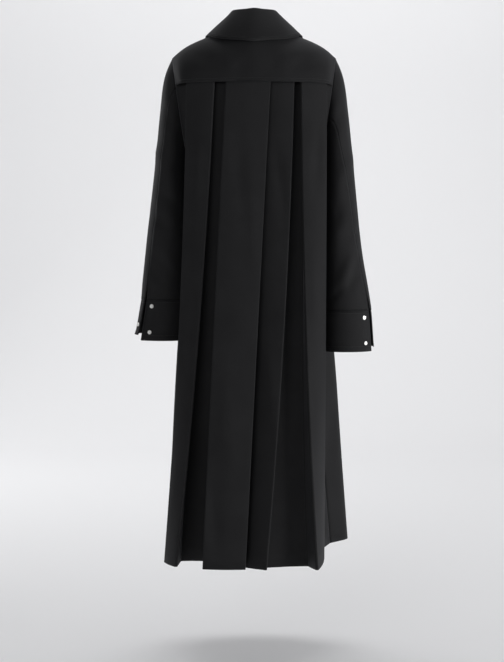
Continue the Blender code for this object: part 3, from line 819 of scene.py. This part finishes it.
class COAT_OT_stitching(bpy.types.Operator):
    """Sews the rows of stitches beside seams and edges"""

    bl_idname = "object.coat_stitching"
    bl_label = "Stitching"

    def execute(self, context):
        across = np.arange(-YOKE_ROW_HALF, YOKE_ROW_HALF, ROW_STEP)
        starts = [(x, RAY_START, YOKE_Z + SEAM_TO_STITCH) for x in across]
        found = on_cloth(["back_yoke"], starts, [(0, -1, 0)] * len(starts))
        stitches("stitch_yoke", spaced(found, ROW_BREAK))
        for side, mirror in SIDES.items():
            levels = {
                "seam": CUFF_SEAM_Z[side] - SEAM_TO_STITCH,
                "hem": CUFF_HEM_Z[side] + 2 * SEAM_TO_STITCH,
            }
            for name, z in levels.items():
                x, y = sleeve_axis(np.array(z))
                turns = np.radians(np.arange(*CUFF_ROW_TURN))
                rows = z + cuff_end_lift(side, (np.degrees(turns) + 180) % 360 - 180, z)
                starts = []
                for t, row in zip(turns, rows):
                    over, behind = math.cos(t) * SLEEVE_RAY_START, math.sin(t) * SLEEVE_RAY_START
                    starts.append((mirror * (x + over), y + behind, row))
                ways = [(-mirror * math.cos(t), -math.sin(t), 0) for t in turns]
                found = on_cloth(["cuff_" + side], starts, ways)
                stitches(f"stitch_cuff_{side}_{name}", spaced(found, ROW_BREAK))
        drop = np.arange(FRONT_ROW["top"], FRONT_ROW["foot"], -ROW_STEP)
        starts = [(FRONT_ROW["x"], -RAY_START, z) for z in drop]
        found = on_cloth(["front_right"], starts, [(0, 1, 0)] * len(starts))
        stitches("stitch_front_edge", spaced(found, ROW_BREAK))
        collar = corners("collar")
        turns = np.radians(np.arange(*COLLAR_ROW_TURN))
        starts, ways = [], []
        for t in turns:
            ray = np.array((math.cos(t), math.sin(t), 0))
            beside = np.abs(collar[:, 0] * ray[1] - collar[:, 1] * ray[0])
            near = collar[(beside < COLLAR_BESIDE) & (collar @ ray > COLLAR_RADIUS)]
            if len(near):
                edge = near[np.argmax(near @ ray)]
                starts.append(tuple(ray * RAY_START + (0, 0, edge[2] + SEAM_TO_STITCH)))
                ways.append(tuple(-ray))
        stitches("stitch_collar", spaced(on_cloth(["collar"], starts, ways), 2 * ROW_BREAK))
        return {"FINISHED"}


def area_light(name, place, aim, power, size):
    """A soft square lamp aimed at a point."""
    lamp = bpy.data.lights.new(name, "AREA")
    lamp.energy = power
    lamp.size = size
    made = bpy.data.objects.new(name, lamp)
    made.location = place
    made.rotation_euler = (Vector(aim) - Vector(place)).to_track_quat("-Z", "Y").to_euler()
    bpy.context.scene.collection.objects.link(made)


class COAT_OT_stage(bpy.types.Operator):
    """Makes the floor and sweep, the lights and the camera"""

    bl_idname = "object.coat_stage"
    bl_label = "Stage"

    def execute(self, context):
        stage = context.scene.coat_stage
        bpy.ops.object.select_all(action="DESELECT")
        bpy.ops.mesh.primitive_plane_add(size=SWEEP["size"], location=(0, SWEEP["middle"], stage.floor))
        sweep = context.object
        sweep.name = "floor_sweep"
        bpy.ops.object.transform_apply(location=True)
        bpy.ops.object.mode_set(mode="EDIT")
        bpy.ops.mesh.select_all(action="DESELECT")
        shape = bmesh.from_edit_mesh(sweep.data)
        for edge in shape.edges:
            if all(v.co.y < SWEEP["wall_before"] for v in edge.verts):
                edge.select_set(True)
        bmesh.update_edit_mesh(sweep.data)
        bpy.ops.mesh.extrude_region_move(TRANSFORM_OT_translate={"value": (0, 0, SWEEP["wall"])})
        bpy.ops.object.mode_set(mode="OBJECT")
        curve = sweep.modifiers.new("curve", "BEVEL")
        curve.width = SWEEP["round"]
        curve.segments = SWEEP["round_steps"]
        bpy.ops.object.modifier_apply(modifier=curve.name)
        bpy.ops.object.shade_smooth()
        sweep.data.materials.append(sweep_material())
        for name, (place, aim, size) in LAMPS.items():
            area_light(name, place, aim, getattr(stage, name), size)
        sky = bpy.data.worlds.new("studio_sky")
        context.scene.world = sky
        sky.use_nodes = True
        sky.node_tree.nodes["Background"].inputs["Color"].default_value = linear("#fafbff")
        sky.node_tree.nodes["Background"].inputs["Strength"].default_value = stage.sky
        context.scene.view_settings.view_transform = "Standard"
        lens = bpy.data.cameras.new("camera")
        lens.sensor_fit = "VERTICAL"
        lens.sensor_height = SENSOR_HEIGHT
        lens.lens = FOCAL_PIXELS / PHOTO_HEIGHT * SENSOR_HEIGHT
        lens.clip_end = CLIP_END
        camera = bpy.data.objects.new("camera", lens)
        camera.location = CAMERA_PLACE
        pitch = math.atan((PHOTO_MIDDLE[1] - HORIZON_ROW) / FOCAL_PIXELS)
        yaw = math.atan((COAT_COLUMN - PHOTO_MIDDLE[0]) / FOCAL_PIXELS)
        camera.rotation_euler = (math.pi / 2 - pitch, 0, math.pi + yaw)
        context.scene.collection.objects.link(camera)
        context.scene.camera = camera
        return {"FINISHED"}


OPERATORS = (
    COAT_OT_back,
    COAT_OT_fronts,
    COAT_OT_collar,
    COAT_OT_sleeves,
    COAT_OT_snaps,
    COAT_OT_stitching,
    COAT_OT_stage,
)


class COAT_PT_panel(bpy.types.Panel):
    """Lists the coat's sizes, colours and pieces"""

    bl_idname = "COAT_PT_panel"
    bl_label = "Coat"
    bl_space_type = "VIEW_3D"
    bl_region_type = "UI"
    bl_category = "Coat"

    def draw(self, context):
        for group in (context.scene.coat_cloth, context.scene.coat_snaps, context.scene.coat_stage):
            box = self.layout.box()
            for name in group.__annotations__:
                box.prop(group, name)
        for operator in OPERATORS:
            self.layout.operator(operator.bl_idname)


GROUPS = {"coat_cloth": CoatCloth, "coat_snaps": CoatSnaps, "coat_stage": CoatStage}


def register():
    for name, group in GROUPS.items():
        bpy.utils.register_class(group)
        setattr(bpy.types.Scene, name, bpy.props.PointerProperty(type=group))
    for kind in OPERATORS + (COAT_PT_panel,):
        bpy.utils.register_class(kind)


def unregister():
    for kind in reversed(OPERATORS + (COAT_PT_panel,)):
        bpy.utils.unregister_class(kind)
    for name, group in GROUPS.items():
        delattr(bpy.types.Scene, name)
        bpy.utils.unregister_class(group)


def main():
    register()
    bpy.ops.object.coat_back()
    bpy.ops.object.coat_fronts()
    bpy.ops.object.coat_collar()
    bpy.ops.object.coat_sleeves()
    bpy.ops.object.coat_snaps()
    bpy.ops.object.coat_stitching()
    bpy.ops.object.coat_stage()


if __name__ == "__main__":
    main()
